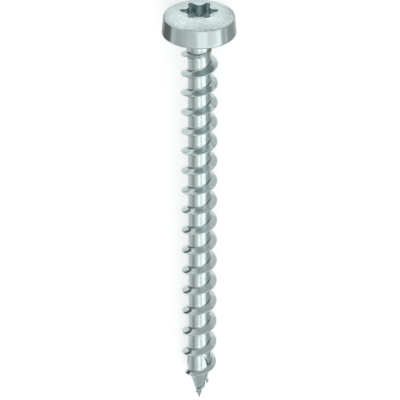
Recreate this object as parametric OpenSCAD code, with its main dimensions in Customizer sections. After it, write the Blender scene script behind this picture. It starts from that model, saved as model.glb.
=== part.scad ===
// Pan head wood screw with a full thread, a six-lobe drive and a cutting point.
// The screw lies on its side, resting on the rim of its head and on one thread crest.
// All sizes are in millimetres.

/* [Shank] */
// Length from the underside of the head to the tip
shank_len = 60; // [45:1:75]
// Diameter of the core between the thread turns
core_d = 3.1; // [2.4:0.05:3.8]
// How far the plain neck under the head stands out from the core
neck_step = 0.18; // [0:0.01:0.4]
// Length of the plain neck, down to its taper into the core
neck_len = 2.3; // [1:0.1:3.5]
// Slope of the taper from the neck into the core, in degrees
neck_slope = 14; // [8:1:30]
// Radius of the fillet between neck and head
neck_fillet = 0.3; // [0.1:0.05:0.5]
// How far the core swells out ahead of the point
swell_step = 0.23; // [0:0.01:0.4]
// Length over which the core swells
swell_len = 6.5; // [3:0.5:12]
// Length of the conical point
point_len = 5.9; // [4.5:0.1:8]

/* [Thread] */
// Diameter over the thread crests
thread_d = 5; // [4.4:0.1:6]
// Distance from the head to the start of the thread
thread_start = 1.35; // [0.8:0.05:2.5]
// Pitch close to the head
pitch_head = 2.76; // [2.2:0.02:3.4]
// Pitch close to the tip
pitch_tip = 3.81; // [3:0.02:4.8]
// Width of the flat on the crest
crest_land = 0.08; // [0.04:0.01:0.16]
// Slope of the flank that faces the head, at the head end, in degrees
back_flank_head = 24; // [15:1:32]
// Slope of the flank that faces the head, at the tip end, in degrees
back_flank_tip = 34; // [15:1:38]
// Slope of the flank that faces the tip, in degrees
front_flank = 19; // [12:1:28]
// Size of the fillet at the root of the thread
root_fillet = 0.14; // [0.05:0.01:0.2]
// Part of a turn over which the thread rises to its full height
run_in_turns = 0.78; // [0.3:0.01:1.5]
// Length at the tip over which the crests come down to the point
crest_fall_len = 7; // [5:0.1:9]

/* [Head] */
// Diameter of the head at its underside
head_d = 9.9; // [8.4:0.1:12]
// Height of the side of the head
head_side_h = 2.5; // [2.1:0.05:3.4]
// Slope of the side of the head, in degrees
head_draft = 6; // [2:0.5:10]
// Rise of the crown above the upper edge of the side
crown_rise = 0.82; // [0.5:0.02:1.2]
// Distance from the points of the drive out to the ring where the crown is highest
crown_margin = 0.3; // [0.15:0.05:0.6]
// Radius of the upper edge
upper_edge_r = 0.28; // [0.1:0.02:0.4]
// Radius of the rim at the underside
rim_r = 0.25; // [0.1:0.02:0.4]

/* [Drive] */
// Six-lobe drive measured over its points
drive_points_d = 4.9; // [4.1:0.1:5.1]
// Six-lobe drive measured over its valleys
drive_valleys_d = 3.34; // [2.9:0.02:3.6]
// Radius at the tip of a lobe
drive_lobe_r = 0.36; // [0.28:0.02:0.42]
// Depth of the drive below the crown, at its points
drive_depth = 1.75; // [1.4:0.05:2]
// Slope of the shallow dish that leads into the drive, in degrees
dish_slope = 10; // [4:1:15]
// Angle of the conical floor of the drive, in degrees
drive_floor_angle = 140; // [130:5:160]

/* [Cutting point] */
// Distance from the tip to the upper end of the slit in the core
slit_from_tip = 9; // [8:0.1:10]
// Length of the slit
slit_len = 2.3; // [1.5:0.1:2.8]
// Depth of the slit at its deep end
slit_depth = 0.3; // [0.1:0.05:0.4]
// Distance from the tip to the free end of the cutting prong
prong_from_tip = 3; // [2.7:0.05:3.3]
// Length of the slot between the prong and the point
prong_len = 0.5; // [0.2:0.05:0.8]
// Width of that slot
slot_w = 0.16; // [0.1:0.02:0.24]
// Length of the notch in the thread beyond the prong
notch_len = 1.2; // [0.8:0.05:1.4]

/* [Hidden] */
zinc = [0.74, 0.78, 0.78];

// Smoothness of the turned forms, of small arcs, of the crown and of the thread.
round_steps = 96;
arc_steps = 6;
crown_steps = 10;
steps_per_turn = 36;

// How far shapes that are joined or cut run past each other, and the smallest step.
overlap = 0.6;
sliver = 0.02;
taper_sunk = 0.12;

// Radius with which the crown turns over into its dish.
ridge_r = 0.6;

// The crests come down over the point with this power, and end this far from the tip.
crest_fall_power = 1.4;
last_crest_from_tip = 0.9;

// The slit opens between these angles and widens outwards by this angle on each side.
slit_from_angle = 70;
slit_to_angle = 37;
slit_half_angle = 30;
slit_reach = 0.8;

// The notch beyond the prong reaches this far behind the axis, and into the point's surface.
notch_behind = 0.55;
notch_sunk = 0.045;

core_r = core_d / 2;
neck_r = core_r + neck_step;
swell_r = core_r + swell_step;
thread_r = thread_d / 2;
head_r = head_d / 2;
crown_r = drive_points_d / 2 + crown_margin;
upper_r = head_r - head_side_h * tan(head_draft);
crown_top = head_side_h + crown_rise;
point_start = shank_len - point_len;

// Distances along the screw are measured from the underside of the head towards the tip.
// Angles are measured round that direction. Ninety degrees is the side that faces up.
down_angle = -90;
start_angle = -50;

// The pitch grows evenly along the screw, so the crest follows an exponential law.
pitch_growth = (pitch_tip - pitch_head) / shank_len;
even_pitch = abs(pitch_growth) < 1e-6;
law_offset = even_pitch ? 0 : pitch_head / pitch_growth;
function crest_at(turn) = even_pitch
    ? thread_start + pitch_head * turn
    : (thread_start + law_offset) * exp(pitch_growth * turn) - law_offset;
function turn_at(s) = even_pitch
    ? (s - thread_start) / pitch_head
    : ln((s + law_offset) / (thread_start + law_offset)) / pitch_growth;
function angle_at(turn) = start_angle + 360 * turn;

function blend(x) = let (t = min(1, max(0, x))) t * t * (3 - 2 * t);

// Radius of the bare core: a cylinder that swells ahead of the point and then a cone.
function core_at(s) = s < point_start
    ? core_r + (swell_r - core_r) * blend((s - point_start + swell_len) / swell_len)
    : swell_r * (shank_len - s) / point_len;

// Radius that the crests would reach: full along the shank, coming down over the point.
function envelope_at(s) =
    let (x = max(0, (s - shank_len + crest_fall_len) / crest_fall_len))
    thread_r * (1 - pow(x, crest_fall_power));

// Height of the thread above the core, with its run-in under the head.
function height_at(turn) =
    let (s = crest_at(turn), full = envelope_at(s) - core_at(s))
    max(sliver, full * blend(turn / run_in_turns));

function back_flank_at(s) =
    back_flank_head + (back_flank_tip - back_flank_head) * s / shank_len;

// One cut through the thread at a turn, as [distance, radius] points from its head side
// to its tip side: root, fillet, crest, crest, fillet, root. A fillet takes up at most a
// third of the height.
function section_at(turn) =
    let (
        s = crest_at(turn),
        h = height_at(turn),
        f = min(root_fillet, h / 3),
        back = h * tan(back_flank_at(s)) + crest_land / 2,
        front = h * tan(front_flank) + crest_land / 2,
        back_root = s - back,
        front_root = s + front,
        crest_r = core_at(s) + h
    ) [
        [back_root - f, core_at(back_root - f)],
        [back_root + f * tan(back_flank_at(s)), core_at(back_root) + f],
        [s - crest_land / 2, crest_r],
        [s + crest_land / 2, crest_r],
        [front_root - f * tan(front_flank), core_at(front_root) + f],
        [front_root + f, core_at(front_root + f)]
    ];

function place(point, angle) = [point[1] * cos(angle), point[1] * sin(angle), point[0]];

// Core and thread are one closed skin, wound as a strip of sections along the helix.
thread_end = shank_len - last_crest_from_tip;
rows = 6;
last_step = floor(turn_at(thread_end) * steps_per_turn);
skin_points = concat(
    [for (i = [0:last_step])
        let (turn = i / steps_per_turn)
        for (point = section_at(turn)) place(point, angle_at(turn))],
    [for (i = [0:steps_per_turn - 1])
        place([-overlap, core_r], angle_at(i / steps_per_turn))],
    [[0, 0, shank_len], [0, 0, -overlap]]
);
first_ring = (last_step + 1) * rows;
tip_point = first_ring + steps_per_turn;
top_point = tip_point + 1;

function at(step, row) = step * rows + row;
function ring(step) = first_ring + step % steps_per_turn;
function quad(a, b, c, d) = [[a, b, c], [a, c, d]];
function fan(list) = [for (k = [1:len(list) - 2]) [list[0], list[k], list[k + 1]]];
root_row = rows - 1;
last_top = steps_per_turn - 1;
tip_step = last_step - steps_per_turn;

skin_faces = concat(
    // The thread itself, from the upper root over the crest to the lower root.
    [for (i = [0:last_step - 1])
        for (j = [0:rows - 2])
            for (face = quad(at(i, j), at(i, j + 1), at(i + 1, j + 1), at(i + 1, j))) face],
    // The core between one turn and the next.
    [for (i = [0:tip_step - 1])
        for (face = quad(
            at(i, root_row), at(i + steps_per_turn, 0),
            at(i + steps_per_turn + 1, 0), at(i + 1, root_row)
        )) face],
    // The core above the first turn, up into the head.
    [for (i = [0:last_top - 1])
        for (face = quad(ring(i), at(i, 0), at(i + 1, 0), ring(i + 1))) face],
    fan(concat(
        [at(last_top, 0), at(steps_per_turn, 0)],
        [for (j = [root_row:-1:0]) at(0, j)],
        [ring(0), ring(last_top)]
    )),
    [for (i = [0:last_top]) [top_point, ring(i), ring(i + 1)]],
    // The cone below the last turn.
    [for (i = [tip_step + 1:last_step - 1])
        [at(i, root_row), tip_point, at(i + 1, root_row)]],
    fan(concat(
        [at(tip_step + 1, root_row), at(tip_step, root_row)],
        [for (j = [0:root_row]) at(last_step, j)],
        [tip_point]
    ))
);

// Points of an arc, round a centre, from one angle to another. An arc that carries on
// from others at both ends leaves out its first and last point.
function arc(center, r, from, to, steps, left_out = 0) = [for (k = [left_out:steps - left_out])
    let (a = from + (to - from) * k / steps)
    [center[0] + r * cos(a), center[1] + r * sin(a)]];

// The head is turned from one outline of [radius, height above the underside] points.
// Its crown is part of a sphere through the upper edge of the side and the crown ring.
sphere_drop = (pow(upper_r, 2) - pow(crown_r, 2) - pow(crown_rise, 2)) / (2 * crown_rise);
sphere_h = head_side_h - sphere_drop;
sphere_r = sqrt(pow(upper_r, 2) + pow(sphere_drop, 2));

// Each rounded edge is an arc that touches what lies on both sides of it.
side_reach = head_r * cos(head_draft);
edge_angle = head_draft
    + acos((side_reach - upper_edge_r - sphere_h * sin(head_draft)) / (sphere_r - upper_edge_r));
edge_center = [0, sphere_h] + (sphere_r - upper_edge_r) * [cos(edge_angle), sin(edge_angle)];
dish_reach = crown_top * cos(dish_slope) - crown_r * sin(dish_slope);
ridge_angle = dish_slope
    + asin((dish_reach - ridge_r - sphere_h * cos(dish_slope)) / (sphere_r - ridge_r));
ridge_center = [0, sphere_h] + (sphere_r - ridge_r) * [cos(ridge_angle), sin(ridge_angle)];
rim_center = [(side_reach - rim_r - rim_r * sin(head_draft)) / cos(head_draft), rim_r];
neck_end = neck_len + (neck_step + taper_sunk) / tan(neck_slope);

head_outline = concat(
    [[0, crown_top - crown_r * tan(dish_slope)], [0, -neck_end]],
    [[core_r - taper_sunk, -neck_end], [neck_r, -neck_len]],
    arc([neck_r + neck_fillet, -neck_fillet], neck_fillet, 180, 90, arc_steps),
    arc(rim_center, rim_r, -90, head_draft, arc_steps),
    arc(edge_center, upper_edge_r, head_draft, edge_angle, arc_steps),
    arc([0, sphere_h], sphere_r, edge_angle, ridge_angle, crown_steps, 1),
    arc(ridge_center, ridge_r, ridge_angle, 90 + dish_slope, arc_steps)
);

// Outline of the six-lobe drive: a small arc at each point and a wide one in each valley.
// The valley's radius is the one at which the two arcs touch.
lobe_reach = drive_points_d / 2 - drive_lobe_r;
valley_r = (pow(lobe_reach, 2) + pow(drive_valleys_d / 2, 2)
        - lobe_reach * drive_valleys_d * cos(30) - pow(drive_lobe_r, 2))
    / (2 * drive_lobe_r + 2 * lobe_reach * cos(30) - drive_valleys_d);
valley_reach = drive_valleys_d / 2 + valley_r;
touch_angle = atan2(valley_reach * sin(30), valley_reach * cos(30) - lobe_reach);
drive_outline = [for (k = [0:5]) each concat(
    arc(lobe_reach * [cos(60 * k), sin(60 * k)], drive_lobe_r,
        60 * k - touch_angle, 60 * k + touch_angle, arc_steps),
    arc(valley_reach * [cos(60 * k + 30), sin(60 * k + 30)], valley_r,
        60 * k + 180 + touch_angle, 60 * k + 240 - touch_angle, arc_steps, 1)
)];

// The hollow of the drive: lobed all the way down, with a conical floor.
module drive_hollow() {
    points_r = drive_points_d / 2;
    floor_h = crown_top - drive_depth;
    intersection() {
        translate([0, 0, -overlap])
            linear_extrude(crown_top + 3 * overlap) polygon(drive_outline);
        rotate_extrude($fn = round_steps) polygon([
            [0, floor_h - points_r / tan(drive_floor_angle / 2)],
            [points_r, floor_h],
            [points_r + overlap, floor_h],
            [points_r + overlap, crown_top + overlap],
            [0, crown_top + overlap]
        ]);
    }
}

module head() {
    rotate([180, 0, 0]) difference() {
        rotate_extrude($fn = round_steps) polygon(head_outline);
        drive_hollow();
    }
}

// A slit in the core runs slantwise towards the last full turn of the thread.
module slit_cutter() {
    from = shank_len - slit_from_tip;
    to = from + slit_len;
    open_angle = (slit_from_angle + slit_to_angle) / 2;
    out = slit_reach * [cos(open_angle), sin(open_angle), 0];
    across = slit_reach * tan(slit_half_angle) * [-sin(open_angle), cos(open_angle), 0];
    deep = [
        place([from, core_at(from) + sliver], slit_from_angle),
        place([to, core_at(to) - slit_depth], slit_to_angle)
    ];
    polyhedron(
        [for (p = deep) each [p, p + out - across, p + out + across]],
        [[0, 2, 1], [3, 4, 5], [0, 1, 4, 3], [1, 2, 5, 4], [2, 0, 3, 5]]
    );
}

// A notch in the last turn leaves a sharp prong, and a slot sets it off from the point.
module notch_cutter() {
    prong_end = shank_len - prong_from_tip;
    across = thread_r + notch_behind;
    translate([core_at(prong_end) - notch_sunk, -notch_behind, prong_end]) {
        cube([thread_r, across, notch_len]);
        translate([0, 0, -prong_len]) cube([slot_w, across, 2 * prong_len]);
    }
}

module screw_upright() {
    difference() {
        union() {
            head();
            polyhedron(skin_points, skin_faces);
        }
        slit_cutter();
        notch_cutter();
    }
}

// The screw lies on the rim of its head and on the crest that the floor meets first.
first_down_turn = (down_angle - start_angle) / 360 + 1;
crest_points = [for (turn = [first_down_turn:1:turn_at(thread_end)]) section_at(turn)[3]];
function lean(point) =
    let (along = point[0] + rim_center[1], out = rim_center[0] - point[1])
    atan2(out, along) + asin(rim_r / norm([along, out]));
tilt = min([for (point = crest_points) lean(point)]);
axis_h = rim_center[0] * cos(tilt) - rim_center[1] * sin(tilt) + rim_r;
tip_x = shank_len * cos(tilt);
top_x = -ridge_center[1] * cos(tilt) - ridge_center[0] * sin(tilt) - ridge_r;

// A forged and rolled steel screw, zinc plated.
module screw() {
    color(zinc)
        translate([-(tip_x + top_x) / 2, 0, axis_h])
            rotate([0, tilt, 0])
                rotate([90, 0, 90])
                    screw_upright();
}

screw();
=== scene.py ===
"""The finished look of the pan head wood screw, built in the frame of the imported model."""

from math import acos, asin, atan2, cos, degrees, floor, hypot, pi, radians, sin, tan

import bmesh
import bpy
import numpy as np
from mathutils import Matrix, Vector


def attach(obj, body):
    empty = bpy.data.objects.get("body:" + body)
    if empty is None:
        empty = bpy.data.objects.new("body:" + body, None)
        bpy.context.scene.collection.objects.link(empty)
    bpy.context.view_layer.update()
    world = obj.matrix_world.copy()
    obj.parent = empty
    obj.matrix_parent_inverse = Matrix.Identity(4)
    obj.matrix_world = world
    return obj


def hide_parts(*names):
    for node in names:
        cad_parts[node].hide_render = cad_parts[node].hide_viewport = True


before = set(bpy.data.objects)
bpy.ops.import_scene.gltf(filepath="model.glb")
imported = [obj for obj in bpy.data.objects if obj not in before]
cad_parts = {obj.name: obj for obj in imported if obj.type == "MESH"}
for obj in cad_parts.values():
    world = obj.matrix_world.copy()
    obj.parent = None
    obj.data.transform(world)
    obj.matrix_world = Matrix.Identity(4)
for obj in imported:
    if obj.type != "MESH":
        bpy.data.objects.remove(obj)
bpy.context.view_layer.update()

# Driving sizes of the screw in millimetres and degrees, the same as in the CAD source.
SHANK_LEN = 60
CORE_R = 1.55
NECK_STEP = 0.18
NECK_LEN = 2.3
NECK_SLOPE = 14
NECK_FILLET = 0.3
SWELL_STEP = 0.23
SWELL_LEN = 6.5
POINT_LEN = 5.9
THREAD_R = 2.5
THREAD_START = 1.35
PITCH_HEAD = 2.76
PITCH_TIP = 3.81
CREST_LAND = 0.08
BACK_FLANK_HEAD = 24
BACK_FLANK_TIP = 34
FRONT_FLANK = 19
ROOT_FILLET = 0.14
RUN_IN_TURNS = 0.78
CREST_FALL_LEN = 7
CREST_FALL_POWER = 1.4
LAST_CREST_FROM_TIP = 0.9
HEAD_R = 4.95
HEAD_SIDE_H = 2.5
HEAD_DRAFT = 6
CROWN_RISE = 0.82
CROWN_MARGIN = 0.3
UPPER_EDGE_R = 0.28
RIM_R = 0.25
RIDGE_R = 0.6
DRIVE_POINTS_R = 2.45
DRIVE_VALLEYS_R = 1.67
DRIVE_LOBE_R = 0.36
DRIVE_DEPTH = 1.75
DISH_SLOPE = 10
DRIVE_FLOOR_ANGLE = 140
SLIT_FROM_TIP = 9
SLIT_LEN = 2.3
SLIT_DEPTH = 0.3
SLIT_FROM_ANGLE = 70
SLIT_TO_ANGLE = 37
SLIT_HALF_ANGLE = 30
SLIT_REACH = 0.8
PRONG_FROM_TIP = 3
PRONG_LEN = 0.5
SLOT_W = 0.16
NOTCH_LEN = 1.2
NOTCH_BEHIND = 0.55
NOTCH_SUNK = 0.045
START_ANGLE = -50
DOWN_ANGLE = -90
LOBES = 6
LOBE_ANGLE = 360 / LOBES
HALF_LOBE = LOBE_ANGLE / 2

# Sizes that only the finished mesh has, in millimetres and degrees.
CREST_ROUND = 0.05
DRIVE_WIDER = 0.05
MOUTH_ROUND = 0.06
FLOOR_ROUND = 0.1
THREAD_FROM = 1.0
SLIVER = 0.02
MERGE_DIST = 0.0005
SHARP_ANGLE = 48

# Where the thread is low, a fillet or rounding takes its height divided by this.
LOW_THREAD_PARTS = 3

# How finely the mesh is divided: steps round the screw, places on a flank, and rows elsewhere.
STEPS_PER_TURN = 144
FILLET_SHARES = (0.3, 0.65)
FLANK_SHARES = (0, 1 / 3, 2 / 3, 1)
CREST_SHARE = 0.5
STRIP_ROWS = 6
START_ROWS = 8
END_ROWS = 10
NECK_ROWS = 4
NECK_FILLET_ROWS = 6
UNDERSIDE_ROWS = 10
RIM_ROWS = 8
SIDE_ROWS = 8
UPPER_EDGE_ROWS = 7
CROWN_ROWS = 14
RIDGE_ROWS = 6
DISH_ROWS = 5
MOUTH_ROWS = 4
WALL_ROWS = 9
FLOOR_EDGE_ROWS = 3
FLOOR_ROWS = 7

# Slots of the screw's materials, and the axes of the upright frame that it is wound in: its
# point is up, and its second axis turns up when the screw lies down.
CORE, THREAD, SIDE, CROWN, DRIVE = range(5)
ACROSS, UPWARD, ALONG = range(3)

# Where a point off the thread lies for the materials' painted root shade: a distance from the root,
# and no way up to the crest.
PLAIN_THREAD_PLACE = (1.0, 0.0)

ZINC = (0.53, 0.62, 0.62)
MM = 0.001

# The camera, in millimetres, degrees and pixels, from a fit to the crests and edges.
CAMERA_OUT = 220.58
CAMERA_BEYOND_HEAD = 109.76
CAMERA_ASIDE = 0.118
CAMERA_PITCH = 31.558
LENS_PX = 1873.4
IMAGE_PX = 400
SENSOR = 36
CLIP_END_M = 10

# The floor, the world and the boxes: sizes in metres, strengths as radiance, where 1 is white.
FLOOR_HALF = 2.5
FLOOR_COLOUR = (0.75, 0.75, 0.75)
FLOOR_LIFT = 0.45
WORLD_LEVEL = 0.57
BOX_HEIGHT = 0.5
BOXES = [
    # name, x from and to, y from and to, radiance added to the world's
    ("head_far_left", -0.1, 0.25, -1.3, -0.35, 0.15),
    ("head_left", -0.1, 0.25, -0.35, -0.05, 0.25),
    ("head_middle", -0.1, 0.25, -0.05, 0.25, 0.75),
    ("head_right", -0.1, 0.25, 0.25, 0.6, 0.42),
    ("head_far_right", -0.1, 0.25, 0.6, 1.3, 0.42),
    ("shank_left", 0.25, 0.6, -0.45, -0.13, 0.32),
    ("shank_middle", 0.25, 0.43, -0.118, 0.152, 1.2),
    ("shank_right", 0.25, 0.8, 0.232, 0.8, 1.12),
    ("shank_far_right", 0.25, 1.2, 0.8, 1.4, 1.12),
    ("over_camera", -0.4, -0.12, -0.4, 0.38, 0.48),
]

# What only reflections show: sizes in millimetres, strengths as radiance. SLAT_FOOT is the height
# above the floor at which the louvres' slats start.
CARDS = [
    # name, corners, height, radiance
    ("dark_card", [(-33, -8), (-23, -8), (6, -90), (-16, -90)], 1.8, 0.17),
    ("dark_card_edge", [(-33, -5.5), (-23, -5.5), (-23, -8), (-33, -8)], 1.8, 0.55),
    ("grey_card", [(-33, 8), (-23, 8), (6, 90), (-16, 90)], 1.8, 0.42),
    ("grey_card_edge", [(-33, 4.3), (-23, 4.3), (-23, 8), (-33, 8)], 1.8, 0.72),
    ("tip_card", [(33.5, -10), (80, -30), (80, 30), (33.5, 10)], 0.2, 0.55),
    ("point_card", [(25.2, -3.7), (27.5, -3.5), (27.5, -8), (23.5, -8)], 0.3, 0.12),
    ("streak_card", [(-100, -400), (150, -400), (400, -1200), (-100, -1200)], 100, 0.82),
    ("shade_card", [(430, -650), (1100, -650), (1600, -1400), (800, -1400)], 500, 0.42),
    ("front_card", [(-60, -13), (-36.5, -7), (-36.5, 7), (-60, 13)], 0.2, 1.5),
]
SLAT_FOOT = 0.1
LOUVRES = [
    # name, x from, to and step, y from and to at the first slat, the same at the last slat,
    # height, radiance towards the head and the tip
    ("first_near_louvre", -15.5, -6.5, 0.35, (-5.5, -5.2), (-5.9, -5.1), 0.8, 0.85, 0.2),
    ("near_left_louvre", -6.5, 40, 0.35, (-6.8, -5.0), (-9.2, -5.2), 0.8, 0.85, 0.0),
    ("left_louvre", -22, 60, 1.6, (-12, -6), (-14, -10), 1.5, 0.78, 1.1),
    ("far_left_louvre", -22, 60, 1.6, (-60, -12), (-60, -14), 1.5, 0.78, 0.8),
    ("right_louvre", -23, 60, 0.9, (3.5, 90), (3.5, 90), 1.5, 0.44, 0.78),
]


def cosd(angle):
    return np.cos(np.radians(angle))


def sind(angle):
    return np.sin(np.radians(angle))


def tand(angle):
    return np.tan(np.radians(angle))


def blend(x):
    t = np.clip(x, 0, 1)
    return t * t * (3 - 2 * t)


# The core and the law of the thread.
core_swell_r = CORE_R + SWELL_STEP
neck_r = CORE_R + NECK_STEP
point_start = SHANK_LEN - POINT_LEN
pitch_growth = (PITCH_TIP - PITCH_HEAD) / SHANK_LEN
law_offset = PITCH_HEAD / pitch_growth


def crest_at(turn):
    """Distance of the crest from the head, where the pitch grows evenly."""
    return (THREAD_START + law_offset) * np.exp(pitch_growth * turn) - law_offset


def turn_at(distance):
    return np.log((distance + law_offset) / (THREAD_START + law_offset)) / pitch_growth


def core_at(distance):
    """Radius of the bare core: a cylinder that swells ahead of the point, then a cone."""
    swell = CORE_R + SWELL_STEP * blend((distance - point_start + SWELL_LEN) / SWELL_LEN)
    cone = core_swell_r * (SHANK_LEN - distance) / POINT_LEN
    return np.where(distance < point_start, swell, cone)


def body_at(distance):
    """Radius of the core with the neck under the head."""
    neck = neck_r - np.maximum(distance - NECK_LEN, 0) * tan(radians(NECK_SLOPE))
    return np.maximum(core_at(distance), neck)


def height_at(turn):
    """Height of the thread above the core, with its run-in and its fall at the point."""
    s = crest_at(turn)
    fall = np.maximum(0, (s - SHANK_LEN + CREST_FALL_LEN) / CREST_FALL_LEN)
    full = THREAD_R * (1 - fall**CREST_FALL_POWER) - core_at(s)
    return np.maximum(SLIVER, full * blend(turn / RUN_IN_TURNS))


def bezier(start, corner, end, share):
    """A point of the curve that leaves start and reaches end in line with the corner."""
    return tuple(a * (1 - share) ** 2 + 2 * b * share * (1 - share) + c * share**2
                 for a, b, c in zip(start, corner, end))


def between(start, end, share):
    return tuple(a + (b - a) * share for a, b in zip(start, end))


def half_section(turn, side):
    """One flank's points, from the root to just before the middle of the crest, as (distance,
    radius) pairs with a value for every turn. side is -1 towards the head and 1 towards the tip."""
    s = crest_at(turn)
    h = height_at(turn)
    slope = tand(BACK_FLANK_HEAD + (BACK_FLANK_TIP - BACK_FLANK_HEAD) * s / SHANK_LEN)
    if side > 0:
        slope = tan(radians(FRONT_FLANK))
    fillet = np.minimum(ROOT_FILLET, h / LOW_THREAD_PARTS)
    crest_round = np.minimum(CREST_ROUND, h / LOW_THREAD_PARTS)
    top = core_at(s) + h
    root = s + side * (h * slope + CREST_LAND / 2)
    out = root + side * fillet
    start = (out, core_at(out))
    corner = (root, core_at(root))
    flank_from = (root - side * fillet * slope, core_at(root) + fillet)
    flank_to = (s + side * (CREST_LAND / 2 + crest_round * slope), top - crest_round)
    crest_corner = (s + side * CREST_LAND / 2, top)
    points = [start]
    points += [bezier(start, corner, flank_from, share) for share in FILLET_SHARES]
    points += [between(flank_from, flank_to, share) for share in FLANK_SHARES]
    points.append(bezier(flank_to, crest_corner, (s, top), CREST_SHARE))
    return points


def sections(turn):
    """Whole thread sections, root to root, as two arrays: distances and radii by step and row."""
    crest = (crest_at(turn), core_at(crest_at(turn)) + height_at(turn))
    points = half_section(turn, -1) + [crest] + half_section(turn, 1)[::-1]
    distances = np.stack([p[0] for p in points], axis=1)
    radii = np.stack([p[1] for p in points], axis=1)
    return distances, np.maximum(radii, body_at(distances))


class Skin:
    """The screw's surface in its upright frame, gathered from grids of points in millimetres."""

    def __init__(self):
        self.points = []
        self.faces = []
        self.uvs = []
        self.thread_place = []
        self.slots = []
        self.count = 0

    def add(self, points, uv, slot, thread_place=None):
        """A grid of points (rows, columns, 3) with texture coordinates (rows, columns, 2).
        thread_place holds the distance from the thread's root, which sets the painted root shade,
        and the share of the way to its crest."""
        rows, columns = points.shape[:2]
        if thread_place is None:
            thread_place = np.broadcast_to(PLAIN_THREAD_PLACE, (rows, columns, 2))
        self.thread_place.append(thread_place.reshape(-1, 2))
        index = self.count + np.arange(rows * columns).reshape(rows, columns)
        corners = [index[:-1, :-1], index[:-1, 1:], index[1:, 1:], index[1:, :-1]]
        quads = np.stack(corners, axis=-1).reshape(-1, 4)
        self.points.append(points.reshape(-1, 3))
        self.uvs.append(uv.reshape(-1, 2))
        self.faces.append(quads)
        self.slots.append(np.full(len(quads), slot))
        self.count += rows * columns

    def add_round(self, distances, radii, angles, slot, along=None, thread_place=None):
        """A grid in distance, radius and angle. Its texture runs round the screw and along it."""
        grid = np.broadcast_arrays(distances, radii, angles)
        points = np.stack([grid[1] * cosd(grid[2]), grid[1] * sind(grid[2]), grid[0]], axis=-1)
        round_way = np.radians(grid[2]) * THREAD_R
        long_way = grid[0] if along is None else np.broadcast_to(along, grid[0].shape)
        self.add(points, np.stack([round_way, long_way], axis=-1), slot, thread_place)

    def mesh(self, name, matrix):
        mesh = bpy.data.meshes.new(name)
        faces = np.concatenate(self.faces)
        mesh.from_pydata(np.concatenate(self.points).tolist(), [], faces.tolist())
        slots = mesh.attributes.new("material_index", "INT", "FACE")
        slots.data.foreach_set("value", np.concatenate(self.slots).astype(np.int32))
        for layer_name, values in (("UVMap", self.uvs), ("ThreadPlace", self.thread_place)):
            corners = np.concatenate(values)[faces.reshape(-1)]
            layer = mesh.uv_layers.new(name=layer_name)
            layer.data.foreach_set("uv", corners.astype(np.float32).ravel())
        work = bmesh.new()
        work.from_mesh(mesh)
        bmesh.ops.remove_doubles(work, verts=work.verts, dist=MERGE_DIST)
        bmesh.ops.dissolve_degenerate(work, edges=work.edges, dist=MERGE_DIST)
        bmesh.ops.recalc_face_normals(work, faces=work.faces)
        work.to_mesh(mesh)
        work.free()
        mesh.transform(matrix)
        return mesh


def thread_place_of(from_root, up=0.0):
    return np.stack(np.broadcast_arrays(from_root, up), axis=-1)


# How far round each step of one turn lies, from 0 to 1.
turn_weight = (np.arange(STEPS_PER_TURN + 1) / STEPS_PER_TURN)[:, None]


def add_thread(skin):
    """The thread and the core between its turns, from the neck to the tip."""
    last = floor(turn_at(SHANK_LEN - LAST_CREST_FROM_TIP) * STEPS_PER_TURN)
    turn = np.arange(last + 1) / STEPS_PER_TURN
    angle = (START_ANGLE + 360 * turn)[:, None]
    distances, radii = sections(turn)
    add_turns(skin, distances, radii, angle)
    strip = add_strip(skin, distances, angle)
    add_start(skin, distances, radii, angle, strip)
    add_end(skin, distances, radii, angle, strip)


def add_turns(skin, distances, radii, angle):
    """The thread itself, from root to root at every step."""
    along = np.cumsum(np.hypot(np.diff(distances, axis=1), np.diff(radii, axis=1)), axis=1)
    along = np.concatenate([np.zeros((len(along), 1)), along], axis=1)
    from_root = np.minimum(along, along[:, -1:] - along)
    thread_place = thread_place_of(from_root, from_root / along[:, -1:] * 2)
    skin.add_round(distances, radii, angle, THREAD, along, thread_place)


def add_strip(skin, distances, angle):
    """The core between one turn and the next. Returns the distances of its points."""
    from_s = distances[:-STEPS_PER_TURN, -1:]
    share = np.linspace(0, 1, STRIP_ROWS + 1)
    strip = from_s + (distances[STEPS_PER_TURN:, :1] - from_s) * share
    from_root = np.minimum(strip - strip[:, :1], strip[:, -1:] - strip)
    skin.add_round(strip, body_at(strip), angle[:-STEPS_PER_TURN], CORE, thread_place=thread_place_of(from_root))
    return strip


def add_start(skin, distances, radii, angle, strip):
    """The core above the first turn. It ends on a chain of points, along which the thread's first
    section meets the first full turn."""
    leg_share = np.linspace(0, 1, START_ROWS + 1)
    first_leg = THREAD_FROM + (distances[0, 0] - THREAD_FROM) * leg_share
    chain = np.concatenate([first_leg, distances[0, 1:], strip[0, 1:]])
    chain_share = (chain - THREAD_FROM) / (chain[-1] - THREAD_FROM)
    start_share = np.concatenate([leg_share, np.ones(len(chain) - len(leg_share))])
    share = start_share * (1 - turn_weight) + chain_share * turn_weight
    above = THREAD_FROM + share * (distances[:STEPS_PER_TURN + 1, :1] - THREAD_FROM)
    above_r = body_at(above)
    above_r[-1, START_ROWS:START_ROWS + radii.shape[1]] = radii[0]
    thread_place = thread_place_of(above[:, -1:] - above)
    skin.add_round(above, above_r, angle[:STEPS_PER_TURN + 1], CORE, thread_place=thread_place)


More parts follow.
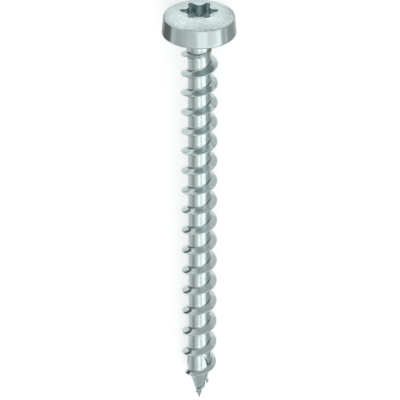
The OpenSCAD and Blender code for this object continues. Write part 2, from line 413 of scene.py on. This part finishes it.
def add_end(skin, distances, radii, angle, strip):
    """The cone below the last turn. It starts on the same kind of chain, at the thread's end."""
    tip_step = len(distances) - 1 - STEPS_PER_TURN
    leg_share = np.linspace(0, 1, END_ROWS + 1)
    last_leg = distances[-1, -1] + (SHANK_LEN - distances[-1, -1]) * leg_share
    chain = np.concatenate([strip[-1], distances[-1, 1:], last_leg[1:]])
    chain_share = (chain - chain[0]) / (SHANK_LEN - chain[0])
    end_share = np.concatenate([np.zeros(len(chain) - len(leg_share)), leg_share])
    share = chain_share * (1 - turn_weight) + end_share * turn_weight
    root = distances[tip_step:, -1:]
    below = root + share * (SHANK_LEN - root)
    below_r = core_at(below)
    below_r[0, STRIP_ROWS:STRIP_ROWS + radii.shape[1]] = radii[-1]
    skin.add_round(below, below_r, angle[tip_step:], CORE, thread_place=thread_place_of(below - below[:, :1]))


# The head's outline: a spherical crown, with each rounded edge touching both its neighbours.
crown_r = DRIVE_POINTS_R + CROWN_MARGIN
crown_top = HEAD_SIDE_H + CROWN_RISE
upper_r = HEAD_R - HEAD_SIDE_H * tan(radians(HEAD_DRAFT))
sphere_drop = (upper_r**2 - crown_r**2 - CROWN_RISE**2) / (2 * CROWN_RISE)
sphere_h = HEAD_SIDE_H - sphere_drop
sphere_r = hypot(upper_r, sphere_drop)
side_reach = HEAD_R * cos(radians(HEAD_DRAFT))
edge_angle = HEAD_DRAFT + degrees(acos(
    (side_reach - UPPER_EDGE_R - sphere_h * sin(radians(HEAD_DRAFT))) / (sphere_r - UPPER_EDGE_R)))
edge_center = ((sphere_r - UPPER_EDGE_R) * cosd(edge_angle),
               sphere_h + (sphere_r - UPPER_EDGE_R) * sind(edge_angle))
dish_reach = crown_top * cosd(DISH_SLOPE) - crown_r * sind(DISH_SLOPE)
ridge_angle = DISH_SLOPE + degrees(asin(
    (dish_reach - RIDGE_R - sphere_h * cosd(DISH_SLOPE)) / (sphere_r - RIDGE_R)))
ridge_center = ((sphere_r - RIDGE_R) * cosd(ridge_angle),
                sphere_h + (sphere_r - RIDGE_R) * sind(ridge_angle))
rim_center = ((side_reach - RIM_R - RIM_R * sind(HEAD_DRAFT)) / cosd(HEAD_DRAFT), RIM_R)

# The six-lobe drive: a small arc at each point, a wide one in each valley, each touching the next.
lobe_reach = DRIVE_POINTS_R - DRIVE_LOBE_R
valley_r = ((lobe_reach**2 + DRIVE_VALLEYS_R**2
             - 2 * lobe_reach * DRIVE_VALLEYS_R * cosd(HALF_LOBE) - DRIVE_LOBE_R**2)
            / (2 * DRIVE_LOBE_R + 2 * lobe_reach * cosd(HALF_LOBE) - 2 * DRIVE_VALLEYS_R))
valley_reach = DRIVE_VALLEYS_R + valley_r
touch_angle = degrees(atan2(valley_reach * sind(HALF_LOBE),
                            valley_reach * cosd(HALF_LOBE) - lobe_reach))


def arc(center, r, start, end, count):
    """Points of an arc in the outline plane, as (radius, height) pairs."""
    angles = np.radians(np.linspace(start, end, count + 1))
    return np.stack([center[0] + r * np.cos(angles), center[1] + r * np.sin(angles)], axis=-1)


def line(start, end, count):
    share = np.linspace(0, 1, count + 1)[:, None]
    return np.asarray(start) + (np.asarray(end) - np.asarray(start)) * share


def rounded_end(center, r):
    """Where an edge's arc meets the head's side."""
    return center[0] + r * cosd(HEAD_DRAFT), center[1] + r * sind(HEAD_DRAFT)


def head_outlines():
    """The head's outline from the neck to the dish, in one stretch for each slot."""
    neck = np.concatenate([
        line((neck_r, -THREAD_FROM), (neck_r, -NECK_FILLET), NECK_ROWS),
        arc((neck_r + NECK_FILLET, -NECK_FILLET), NECK_FILLET, 180, 90, NECK_FILLET_ROWS)[1:],
    ])
    side_low, side_top = rounded_end(rim_center, RIM_R), rounded_end(edge_center, UPPER_EDGE_R)
    side = np.concatenate([
        line((neck_r + NECK_FILLET, 0), (rim_center[0], 0), UNDERSIDE_ROWS),
        arc(rim_center, RIM_R, -90, HEAD_DRAFT, RIM_ROWS)[1:],
        line(side_low, side_top, SIDE_ROWS)[1:],
    ])
    crown = np.concatenate([
        arc(edge_center, UPPER_EDGE_R, HEAD_DRAFT, edge_angle, UPPER_EDGE_ROWS),
        arc((0, sphere_h), sphere_r, edge_angle, ridge_angle, CROWN_ROWS)[1:],
        arc(ridge_center, RIDGE_R, ridge_angle, 90 + DISH_SLOPE, RIDGE_ROWS)[1:],
    ])
    return [(CORE, neck), (SIDE, side), (CROWN, crown)]


def drive_outline(count):
    """Points and outward normals of the drive's outline, one for each step round the head."""
    per_lobe = count // LOBES
    quarter = per_lobe // 4
    points, normals = [], []
    for step in range(count):
        k, m = divmod(step, per_lobe)
        if m <= quarter or m >= per_lobe - quarter:
            lobe = k if m <= quarter else k + 1
            away = m if m <= quarter else m - per_lobe
            turn = LOBE_ANGLE * lobe + touch_angle * away / quarter
            normal = np.array([cosd(turn), sind(turn)])
            center = lobe_reach * np.array([cosd(LOBE_ANGLE * lobe), sind(LOBE_ANGLE * lobe)])
            points.append(center + DRIVE_LOBE_R * normal)
        else:
            valley = LOBE_ANGLE * k + HALF_LOBE
            turn = valley + 180 + (touch_angle - HALF_LOBE) * (2 * quarter - m) / quarter
            normal = -np.array([cosd(turn), sind(turn)])
            center = valley_reach * np.array([cosd(valley), sind(valley)])
            points.append(center - valley_r * normal)
        normals.append(normal)
    return np.array(points), np.array(normals)


def dish_h(points):
    """Height of the dish over points of the outline plane."""
    return crown_top - (crown_r - np.hypot(*points.T)) * tan(radians(DISH_SLOPE))


def floor_h(points):
    """Height of the drive's conical floor."""
    fall = (DRIVE_POINTS_R - np.hypot(*points.T)) / tan(radians(DRIVE_FLOOR_ANGLE / 2))
    return crown_top - DRIVE_DEPTH - fall


def ring(points, heights):
    return np.concatenate([points, -heights[:, None]], axis=1)


def drive_rings(circle, outline, normals):
    """Rings of points from the dish's outer edge to the middle of the drive's floor, by slot."""
    mouth = outline + MOUTH_ROUND * normals
    dish = [circle + (mouth - circle) * share for share in np.linspace(0, 1, DISH_ROWS + 1)]
    dish = [ring(points, dish_h(points)) for points in dish]
    mouth_h = dish_h(mouth)
    edge = []
    for turn in np.linspace(0, 90, MOUTH_ROWS + 1):
        points = outline + MOUTH_ROUND * (1 - sind(turn)) * normals
        edge.append(ring(points, mouth_h - MOUTH_ROUND * (1 - cosd(turn))))
    wall_top = mouth_h - MOUTH_ROUND
    wall_low = floor_h(outline) + FLOOR_ROUND
    wall = [ring(outline, wall_top + (wall_low - wall_top) * share)
            for share in np.linspace(0, 1, WALL_ROWS + 1)]
    for turn in np.linspace(0, 90, FLOOR_EDGE_ROWS + 1)[1:]:
        points = outline - FLOOR_ROUND * (1 - cosd(turn)) * normals
        wall.append(ring(points, wall_low - FLOOR_ROUND * sind(turn)))
    inside = outline - FLOOR_ROUND * normals
    lift = wall_low - FLOOR_ROUND - floor_h(inside)
    base = [ring(inside * share, floor_h(inside * share) + lift * share)
            for share in np.linspace(1, 0, FLOOR_ROWS + 1)]
    return [(CROWN, dish), (DRIVE, edge), (DRIVE, wall), (DRIVE, base)]


def add_head(skin):
    """The neck's top, the head and the drive, as rings of points that end at the drive's floor."""
    count = STEPS_PER_TURN
    angles = START_ANGLE + 360 * np.arange(count + 1) / count
    for slot, outline in head_outlines():
        along = np.concatenate([[0], np.cumsum(np.hypot(*np.diff(outline, axis=0).T))])
        radii, heights = outline[:, :1], outline[:, 1:]
        skin.add_round(-heights, radii, angles[None, :], slot, along[:, None])

    # From here the rings change from the last circle to the drive's outline.
    circle = outline[-1, 0] * np.stack([cosd(angles), sind(angles)], axis=-1)
    outline, normals = drive_outline(count)
    shift = round(-START_ANGLE / (360 / count))
    order = (np.arange(count + 1) - shift) % count
    outline, normals = outline[order] + DRIVE_WIDER * normals[order], normals[order]
    around = np.radians(angles) * DRIVE_POINTS_R
    for slot, rings in drive_rings(circle, outline, normals):
        points = np.stack(rings)
        rise = np.linalg.norm(np.diff(points, axis=0), axis=2).mean(axis=1)
        along = np.concatenate([[0], np.cumsum(rise)])
        uv = np.stack(np.broadcast_arrays(around[None, :], along[:, None]), axis=-1)
        skin.add(points, uv, slot)


def lean(distance, radius):
    """The tilt at which the floor meets the head's rim and a crest."""
    along = distance + rim_center[1]
    out = rim_center[0] - radius
    return degrees(atan2(out, along) + asin(RIM_R / hypot(along, out)))


def lying_frame():
    """The way from the upright frame in millimetres to the model's frame in metres: the screw lies
    on the rim of its head and on the crest that the floor meets first."""
    first_down_turn = (DOWN_ANGLE - START_ANGLE) / 360 + 1
    down_turns = np.arange(first_down_turn, turn_at(SHANK_LEN - LAST_CREST_FROM_TIP), 1)
    crests = crest_at(down_turns)
    radii = core_at(crests) + height_at(down_turns)
    tilt = min(lean(s + CREST_LAND / 2, r) for s, r in zip(crests, radii))
    axis_h = rim_center[0] * cosd(tilt) - rim_center[1] * sind(tilt) + RIM_R
    tip_x = SHANK_LEN * cosd(tilt)
    top_x = -ridge_center[1] * cosd(tilt) - ridge_center[0] * sind(tilt) - RIDGE_R
    turn_over = Matrix(((0, 0, 1, 0), (1, 0, 0, 0), (0, 1, 0, 0), (0, 0, 0, 1)))
    return (Matrix.Scale(MM, 4)
            @ Matrix.Translation((-(tip_x + top_x) / 2, 0, axis_h))
            @ Matrix.Rotation(radians(tilt), 4, "Y")
            @ turn_over)


to_row = lying_frame()


def add_object(name, data):
    item = bpy.data.objects.new(name, data)
    bpy.context.scene.collection.objects.link(item)
    return item


def spot(distance, radius, angle):
    """A point of the upright frame."""
    return Vector((radius * cosd(angle), radius * sind(angle), distance))


def cutter(name, points, faces):
    """A small closed solid in the upright frame, as an object."""
    mesh = bpy.data.meshes.new(name)
    mesh.from_pydata([tuple(p) for p in points], [], faces)
    work = bmesh.new()
    work.from_mesh(mesh)
    bmesh.ops.recalc_face_normals(work, faces=work.faces)
    work.to_mesh(mesh)
    work.free()
    for layer_name in ("UVMap", "ThreadPlace"):
        layer = mesh.uv_layers.new(name=layer_name)
        layer.data.foreach_set("uv", PLAIN_THREAD_PLACE * len(layer.data))
    mesh.transform(to_row)
    return add_object(name, mesh)


def slit_cutter():
    """The wedge that leaves the slanted slit in the swell."""
    start = SHANK_LEN - SLIT_FROM_TIP
    end = start + SLIT_LEN
    open_angle = (SLIT_FROM_ANGLE + SLIT_TO_ANGLE) / 2
    out = SLIT_REACH * Vector((cosd(open_angle), sind(open_angle), 0))
    half_w = SLIT_REACH * tan(radians(SLIT_HALF_ANGLE))
    across = half_w * Vector((-sind(open_angle), cosd(open_angle), 0))
    points = []
    for p in (spot(start, float(core_at(start)) + SLIVER, SLIT_FROM_ANGLE),
              spot(end, float(core_at(end)) - SLIT_DEPTH, SLIT_TO_ANGLE)):
        points += [p, p + out - across, p + out + across]
    faces = [(0, 2, 1), (3, 4, 5), (0, 1, 4, 3), (1, 2, 5, 4), (2, 0, 3, 5)]
    return cutter("slit_cutter", points, faces)


def box_cutter(name, low, size):
    points = [tuple(low[k] + size[k] * step[k] for k in range(3))
              for step in ((a, b, c) for a in (0, 1) for b in (0, 1) for c in (0, 1))]
    faces = [(0, 1, 3, 2), (4, 6, 7, 5), (0, 4, 5, 1), (2, 3, 7, 6), (0, 2, 6, 4), (1, 5, 7, 3)]
    return cutter(name, points, faces)


def notch_cutters():
    """The notch beyond the prong, and the slot between the prong and the point."""
    end = SHANK_LEN - PRONG_FROM_TIP
    left = float(core_at(end)) - NOTCH_SUNK
    depth = THREAD_R + NOTCH_BEHIND
    return [
        box_cutter("notch", (left, -NOTCH_BEHIND, end), (THREAD_R, depth, NOTCH_LEN)),
        box_cutter("slot", (left, -NOTCH_BEHIND, end - PRONG_LEN), (SLOT_W, depth, 2 * PRONG_LEN)),
    ]


def cut(item, cutters):
    """Takes the cutters out of the item and bakes the result into its mesh."""
    for tool in cutters:
        modifier = item.modifiers.new(tool.name, "BOOLEAN")
        modifier.operation = "DIFFERENCE"
        modifier.solver = "EXACT"
        modifier.object = tool
    bpy.context.view_layer.update()
    shaped = item.evaluated_get(bpy.context.evaluated_depsgraph_get())
    mesh = bpy.data.meshes.new_from_object(shaped)
    item.modifiers.clear()
    item.data = mesh
    for tool in cutters:
        bpy.data.objects.remove(tool)


def build_screw(materials):
    skin = Skin()
    add_thread(skin)
    add_head(skin)
    mesh = skin.mesh("zinc_screw", to_row)
    for material in materials:
        mesh.materials.append(material)
    item = add_object("zinc_screw", mesh)
    cut(item, [slit_cutter()] + notch_cutters())
    return item


def smooth(item):
    """Shades the faces smooth and keeps the sharp edges."""
    work = bmesh.new()
    work.from_mesh(item.data)
    for face in work.faces:
        face.smooth = True
    for edge in work.edges:
        edge.smooth = len(edge.link_faces) == 2 and edge.calc_face_angle(0) < radians(SHARP_ANGLE)
    work.to_mesh(item.data)
    work.free()
    modifier = item.modifiers.new("even_normals", "WEIGHTED_NORMAL")
    modifier.keep_sharp = True


def note_places(item):
    """Stores each vertex's place in the upright frame, in millimetres, for the materials."""
    mesh = item.data
    points = np.empty(len(mesh.vertices) * 3, np.float32)
    mesh.vertices.foreach_get("co", points)
    back = np.array(to_row.inverted())
    local = points.reshape(-1, 3) @ back[:3, :3].T + back[:3, 3]
    attribute = mesh.attributes.new("upright_mm", "FLOAT_VECTOR", "POINT")
    attribute.data.foreach_set("vector", local.astype(np.float32).ravel())


class Nodes:
    """A material's nodes, with one short method for each kind of node."""

    def __init__(self, name):
        self.material = bpy.data.materials.new(name)
        self.material.use_nodes = True
        self.tree = self.material.node_tree
        self.shader = self.tree.nodes["Principled BSDF"]

    def node(self, kind, **settings):
        item = self.tree.nodes.new(kind)
        for key, value in settings.items():
            setattr(item, key, value)
        return item

    def put(self, value, socket):
        """Links an output, or sets a plain value."""
        if isinstance(value, bpy.types.NodeSocket):
            self.tree.links.new(value, socket)
        else:
            socket.default_value = value

    def math(self, operation, *values):
        item = self.node("ShaderNodeMath", operation=operation)
        for value, socket in zip(values, item.inputs):
            self.put(value, socket)
        return item.outputs[0]

    def times(self, first, *others):
        for other in others:
            first = self.math("MULTIPLY", first, other)
        return first

    def uv(self, layer):
        return self.node("ShaderNodeUVMap", uv_map=layer).outputs[0]

    def place(self):
        return self.node("ShaderNodeAttribute", attribute_name="upright_mm").outputs["Vector"]

    def part(self, vector, axis):
        item = self.node("ShaderNodeSeparateXYZ")
        self.put(vector, item.inputs[0])
        return item.outputs[axis]

    def scaled(self, vector, scale):
        item = self.node("ShaderNodeVectorMath", operation="MULTIPLY")
        self.put(vector, item.inputs[0])
        item.inputs[1].default_value = scale
        return item.outputs[0]

    def noise(self, vector, detail, rough=0.5):
        """Noise from 0 to 1 that changes over about one unit of the vector."""
        item = self.node("ShaderNodeTexNoise")
        self.put(vector, item.inputs["Vector"])
        for name, number in (("Scale", 1), ("Detail", detail), ("Roughness", rough)):
            item.inputs[name].default_value = number
        return item.outputs["Fac"]

    def streaks(self, round_way, long_way, detail=3):
        """Noise that changes so many times in a millimetre round the screw and along it."""
        return self.noise(self.scaled(self.uv("UVMap"), (round_way, long_way, 0)), detail)

    def clouds(self, per_mm, rough=0.5):
        """Noise in space that changes so many times in a millimetre."""
        return self.noise(self.scaled(self.place(), (per_mm, per_mm, per_mm)), 2, rough)

    def spread(self, value, low, high):
        """Maps 0..1 to low..high."""
        item = self.node("ShaderNodeMapRange", clamp=False)
        for name, number in (("Value", value), ("To Min", low), ("To Max", high)):
            self.put(number, item.inputs[name])
        return item.outputs["Result"]

    def around(self, value, middle, reach):
        """Maps 0..1 to middle - reach .. middle + reach."""
        return self.spread(value, middle - reach, middle + reach)

    def ramp(self, value, start, end, low, high):
        """low up to start, high from end, and a smooth change between them."""
        item = self.node("ShaderNodeMapRange", interpolation_type="SMOOTHSTEP")
        self.put(value, item.inputs["Value"])
        for name, number in (("From Min", start), ("From Max", end),
                             ("To Min", low), ("To Max", high)):
            self.put(number, item.inputs[name])
        return item.outputs["Result"]

    def root(self, start, end, side, top):
        """Paints shade into the thread's root, between two distances from it. The painted shade is
        lighter on top of the lying screw, and darker on one side, the more so further from the
        head."""
        # Painted shade: the root's crease darkened, less on top and more on one side and towards
        # the point.
        far = self.ramp(self.part(self.place(), ALONG), start=8, end=30, low=0.85, high=0.5)
        one_side = self.ramp(self.part(self.place(), ACROSS), start=-1.4, end=0.5, low=far, high=1)
        kept = self.ramp(self.part(self.place(), UPWARD), start=1.1, end=1.5, low=side, high=top)
        from_root = self.part(self.uv("ThreadPlace"), 0)
        return self.ramp(from_root, start, end, low=self.times(kept, one_side), high=1)

    def glow(self, strength):
        item = self.node("ShaderNodeEmission")
        self.put(strength, item.inputs["Strength"])
        return item.outputs[0]

    def show(self, surface):
        self.put(surface, self.tree.nodes["Material Output"].inputs["Surface"])
        return self.material

    def metal(self, shade, roughness, height, bump_mm):
        """Zinc in its colour times shade, with a roughness and a bump of so many millimetres."""
        self.shader.inputs["Metallic"].default_value = 1
        item = self.node("ShaderNodeVectorMath", operation="SCALE")
        item.inputs[0].default_value = ZINC
        self.put(shade, item.inputs["Scale"])
        self.put(item.outputs[0], self.shader.inputs["Base Color"])
        self.put(roughness, self.shader.inputs["Roughness"])
        bump = self.node("ShaderNodeBump")
        bump.inputs["Strength"].default_value = 1
        bump.inputs["Distance"].default_value = bump_mm * MM
        self.put(height, bump.inputs["Height"])
        self.put(bump.outputs[0], self.shader.inputs["Normal"])
        return self.material


def core_metal():
    """Bright rolled metal with fine streaks along the screw, and painted shade beside the thread.
    """
    m = Nodes("zinc_core")
    streaks = m.streaks(round_way=9, long_way=0.5)
    clouds = m.clouds(per_mm=0.8)
    # root darkens the colour beside the thread's root as painted shade.
    root = m.root(start=0.0, end=0.12, side=0.45, top=0.8)
    shade = m.times(m.around(streaks, 0.98, 0.12), m.around(clouds, 1.0, 0.06), root)
    return m.metal(shade, m.around(streaks, 0.21, 0.08), height=streaks, bump_mm=0.004)


def thread_metal():
    """The thread's flanks: fine streaks round the screw, painted shade in the root and a paler
    crest.
    """
    m = Nodes("zinc_thread")
    streaks = m.streaks(round_way=0.5, long_way=9)
    clouds = m.clouds(per_mm=1.2)
    # root darkens the colour at the thread's root as painted shade.
    root = m.root(start=0.1, end=0.35, side=0.35, top=0.95)
    crest = m.ramp(m.part(m.uv("ThreadPlace"), 1), start=0.8, end=1, low=1, high=1.12)
    shade = m.times(m.around(streaks, 0.98, 0.12), m.around(clouds, 1.0, 0.08), root, crest)
    return m.metal(shade, m.around(streaks, 0.2, 0.06), height=streaks, bump_mm=0.004)


def side_metal():
    """The head's side and underside: a turned sheen with faint upright bands."""
    m = Nodes("zinc_side")
    bands = m.streaks(round_way=3.5, long_way=0.25)
    lines = m.streaks(round_way=0.3, long_way=9, detail=2)
    shade = m.times(m.around(bands, 0.99, 0.09), m.around(lines, 1.0, 0.05))
    return m.metal(shade, m.around(bands, 0.21, 0.05), height=lines, bump_mm=0.002)


def crown_metal():
    """The head's top and dish: a fine grain like that of a cold-formed and plated face."""
    m = Nodes("zinc_crown")
    grain = m.ramp(m.clouds(per_mm=4.5, rough=0.6), start=0.3, end=0.7, low=0, high=1)
    clouds = m.clouds(per_mm=0.5)
    shade = m.times(m.around(grain, 1.02, 0.2), m.around(clouds, 1.0, 0.24))
    return m.metal(shade, m.around(grain, 0.36, 0.08), height=grain, bump_mm=0.02)


def drive_metal():
    """The drive's walls and floor: punched, with streaks that run down the walls."""
    m = Nodes("zinc_drive")
    streaks = m.streaks(round_way=6, long_way=0.3)
    shade = m.around(streaks, 1.0, 0.7)
    return m.metal(shade, m.around(streaks, 0.24, 0.08), height=streaks, bump_mm=0.004)


def floor_material():
    """White paper: diffuse, so that it keeps the shadow, and lifted to white where it is seen,
    which is by camera, glossy and transmission rays."""
    m = Nodes("floor")
    m.shader.inputs["Base Color"].default_value = (*FLOOR_COLOUR, 1)
    m.shader.inputs["Roughness"].default_value = 1
    m.shader.inputs["Specular IOR Level"].default_value = 0
    path = m.node("ShaderNodeLightPath").outputs
    seen = path["Is Camera Ray"]
    for name in ("Is Glossy Ray", "Is Transmission Ray"):
        seen = m.math("MAXIMUM", seen, path[name])
    both = m.node("ShaderNodeAddShader")
    m.put(m.shader.outputs[0], both.inputs[0])
    m.put(m.glow(m.times(seen, FLOOR_LIFT)), both.inputs[1])
    return m.show(both.outputs[0])


def glow_material(name, front, back):
    """A glow of one radiance in front and one behind."""
    m = Nodes(name)
    behind = m.node("ShaderNodeNewGeometry").outputs["Backfacing"]
    return m.show(m.glow(m.spread(behind, front, back)))


def add_quads(name, points, material):
    """Quads, four points in metres each, as an object."""
    mesh = bpy.data.meshes.new(name)
    mesh.from_pydata(points, [], [tuple(range(k, k + 4)) for k in range(0, len(points), 4)])
    mesh.materials.append(material)
    return add_object(name, mesh)


def add_camera():
    data = bpy.data.cameras.new("camera")
    data.sensor_width = SENSOR
    data.lens = LENS_PX / IMAGE_PX * SENSOR
    data.clip_end = CLIP_END_M
    camera = add_object("camera", data)
    turn = to_row.to_3x3().normalized()
    forward = turn @ Vector((0, -cosd(CAMERA_PITCH), sind(CAMERA_PITCH)))
    right = turn @ Vector((1, 0, 0))
    up = right.cross(forward)
    where = to_row @ Vector((CAMERA_ASIDE, CAMERA_OUT, -CAMERA_BEYOND_HEAD))
    facing = Matrix((right, up, -forward)).transposed().to_4x4()
    camera.matrix_world = Matrix.Translation(where) @ facing
    bpy.context.scene.camera = camera


def add_floor():
    size = FLOOR_HALF
    corners = [(-size, -size, 0), (size, -size, 0), (size, size, 0), (-size, size, 0)]
    add_quads("floor", corners, floor_material())


def add_softboxes():
    for name, x0, x1, y0, y1, radiance in BOXES:
        data = bpy.data.lights.new(name, "AREA")
        data.shape = "RECTANGLE"
        data.size = x1 - x0
        data.size_y = y1 - y0
        data.energy = radiance * pi * data.size * data.size_y
        lamp = add_object(name, data)
        lamp.location = ((x0 + x1) / 2, (y0 + y1) / 2, BOX_HEIGHT)
        lamp.visible_camera = False


def add_cards():
    """Level cards that only reflections show."""
    for name, corners, height, radiance in CARDS:
        add_reflected(name, [(x, y, height) for x, y in corners], radiance, radiance)


def add_louvres():
    """Low louvres beside the shank that only reflections show, with a radiance for each side."""
    for name, x0, x1, step, first, last, tall, head_side, tip_side in LOUVRES:
        points = []
        for x in np.arange(x0, x1, step):
            y0, y1 = (np.interp(x, (x0, x1), (first[k], last[k])) for k in (0, 1))
            points += [(x, y0, SLAT_FOOT), (x, y1, SLAT_FOOT), (x, y1, tall), (x, y0, tall)]
        add_reflected(name, points, tip_side, head_side)


def add_reflected(name, points, front, back):
    """Glowing quads, four points in millimetres each, that only reflections show."""
    points = [tuple(v * MM for v in p) for p in points]
    card = add_quads(name, points, glow_material(name, front, back))
    card.visible_camera = False
    card.visible_diffuse = False
    card.visible_shadow = False


def add_world():
    world = bpy.data.worlds.new("studio")
    world.use_nodes = True
    background = world.node_tree.nodes["Background"]
    background.inputs["Color"].default_value = (1, 1, 1, 1)
    background.inputs["Strength"].default_value = WORLD_LEVEL
    bpy.context.scene.world = world
    bpy.context.scene.view_settings.view_transform = "Standard"


screw = build_screw([core_metal(), thread_metal(), side_metal(), crown_metal(), drive_metal()])
smooth(screw)
note_places(screw)
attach(screw, "root")
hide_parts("screw")

add_camera()
add_floor()
add_softboxes()
add_cards()
add_louvres()
add_world()
